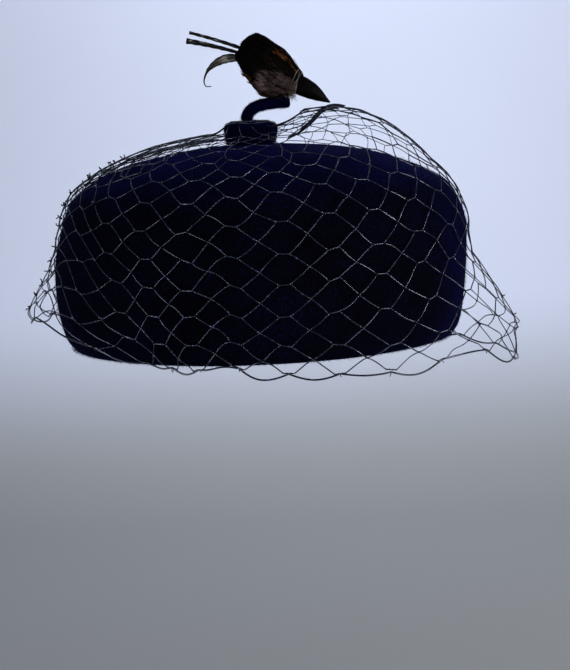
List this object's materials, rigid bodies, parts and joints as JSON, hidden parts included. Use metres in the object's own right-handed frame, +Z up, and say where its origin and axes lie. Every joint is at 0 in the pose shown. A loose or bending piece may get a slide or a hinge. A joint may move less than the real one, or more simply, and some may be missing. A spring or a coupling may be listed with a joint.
{
  "type": "pillbox hat",
  "caption": "Oval velour felt pillbox hat, open below, with a covered button, a bent stem holding a feather trim, and a net veil drawn over the crown with a flared hem",
  "frame": {"origin": "middle of the rim's opening, level with the rim, where the hat sits on a head", "axes": "X to the wearer's front, Y to the wearer's left, Z up"},
  "size_m": [0.262, 0.202, 0.1817],
  "materials": {
    "velour": "navy velour felt with a short soft nap",
    "feather": "matt feathers, near black with rust and grey-brown edges",
    "quill": "bare horn-like quill",
    "gloss_tip": "glossy black",
    "net": "fine twisted netting thread, slightly lustrous"
  },
  "bodies": {
    "root": {"crown": "velour", "button": "velour", "stem": "velour", "plume": "feather", "plume_tip": "gloss_tip", "quill_upper": "quill", "quill_lower": "quill", "curled_feather": "feather", "veil": "net"}
  },
  "joints": []
}
